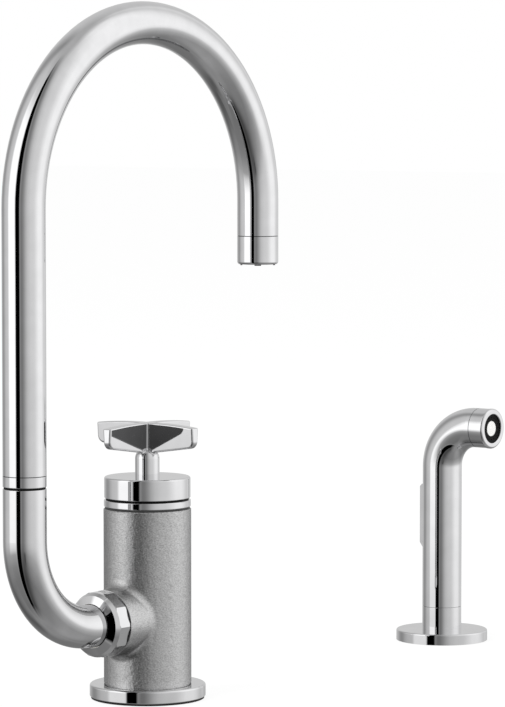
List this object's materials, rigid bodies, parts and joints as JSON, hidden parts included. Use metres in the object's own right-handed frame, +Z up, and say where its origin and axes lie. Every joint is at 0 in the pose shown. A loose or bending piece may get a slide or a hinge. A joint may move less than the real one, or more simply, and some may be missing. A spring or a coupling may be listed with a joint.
{
  "type": "side spray kitchen faucet",
  "caption": "Single-column mixer tap with a swivelling gooseneck spout on a side elbow, a cross handle on top, and a separate pull-out side spray in a deck holder.",
  "frame": {"origin": "axis of the main column on the deck plane, at the mouth of the spray outlet port", "axes": "+Z up out of the deck, +X along the deck from the spout's swivel through the column to the side spray, -Y to the user"},
  "size_m": [0.4476, 0.0767, 0.409],
  "materials": {
    "chrome": "polished chrome plate on brass",
    "satin_cast": "bead-blasted satin casting",
    "brass": "turned",
    "rubber": "moulded black rubber",
    "black_plastic": "moulded",
    "pale_plastic": "moulded",
    "ceramic": "lapped ceramic",
    "stainless": "plain stainless steel"
  },
  "bodies": {
    "deck_unit": {"base_gasket": "rubber", "base_flange": "chrome", "faucet_body": "satin_cast", "inlet_manifold": "brass", "check_valves": "pale_plastic", "diverter_sleeve": "brass", "cartridge_base": "pale_plastic", "cartridge_seals": "rubber", "cartridge_shell": "pale_plastic", "fixed_disc": "ceramic", "cartridge_nut": "brass", "trim_washer": "stainless", "trim_ring": "chrome", "cap_glide": "black_plastic", "union_nut": "chrome", "union_washer": "rubber", "union_tailpiece": "brass", "elbow_tube": "chrome", "swivel_post": "brass", "swivel_washer": "black_plastic", "swivel_o_rings": "rubber", "swivel_clip": "stainless", "spray_gasket": "rubber", "spray_flange": "chrome", "holder_collar": "chrome", "holder_bush": "pale_plastic"},
    "diverter": {"diverter_piston": "brass"},
    "handle": {"bonnet_cap": "chrome", "cross_handle": "chrome", "cap_lock_nut": "brass", "handle_set_screw": "stainless", "spindle": "brass", "moving_disc": "ceramic", "spindle_seal": "rubber"},
    "spout": {"spout_foot": "chrome", "spout_tube": "chrome", "outlet_housing": "chrome", "aerator_insert": "black_plastic", "aerator_screen": "stainless", "aerator_washer": "rubber"},
    "hose_end": {"hose_connector": "brass", "connector_o_ring": "rubber", "connector_clip": "stainless"},
    "wand": {"wand_tube": "chrome", "connector_sleeve": "brass", "valve_body": "brass", "valve_cap": "pale_plastic", "valve_spring": "stainless", "spray_head": "chrome", "nozzle_ring": "chrome", "nozzle_insert": "black_plastic", "nozzle_core": "pale_plastic", "trigger_pin": "stainless"},
    "trigger": {"trigger_paddle": "chrome"},
    "spray_valve": {"valve_stem": "brass", "valve_seal": "rubber"}
  },
  "joints": [
    {"name": "handle_turn", "type": "hinge", "parent": "deck_unit", "child": "handle", "pos_m": [0, 0, 0.118], "axis": [0, 0, 1], "range_deg": [0, 120]},
    {"name": "spout_swivel", "type": "hinge", "parent": "deck_unit", "child": "spout", "pos_m": [-0.1075, 0, 0.1332], "axis": [0, 0, 1], "continuous": true},
    {"name": "spray_lift", "type": "slide", "parent": "deck_unit", "child": "hose_end", "axis": [0, 0, 1], "range_m": [0, 0.2]},
    {"name": "spray_turn", "type": "hinge", "parent": "hose_end", "child": "wand", "pos_m": [0.298, 0, 0.03], "axis": [0, 0, 1], "continuous": true},
    {"name": "trigger_press", "type": "hinge", "parent": "wand", "child": "trigger", "pos_m": [0.298, 0.0096, 0.064], "axis": [1, 0, 0], "range_deg": [0, 5], "stiffness_Nm_per_rad": 2, "springref_deg": -2.29},
    {"name": "valve_push", "type": "slide", "parent": "wand", "child": "spray_valve", "axis": [0, 0, -1], "range_m": [0, 0.00085], "deforming": ["valve_spring"]},
    {"name": "diverter_lift", "type": "slide", "parent": "deck_unit", "child": "diverter", "axis": [0, 0, 1], "range_m": [0, 0.004]}
  ],
  "couplings": [
    {"joint": "valve_push", "follows": "trigger_press", "m_per_rad": 0.0096}
  ]
}
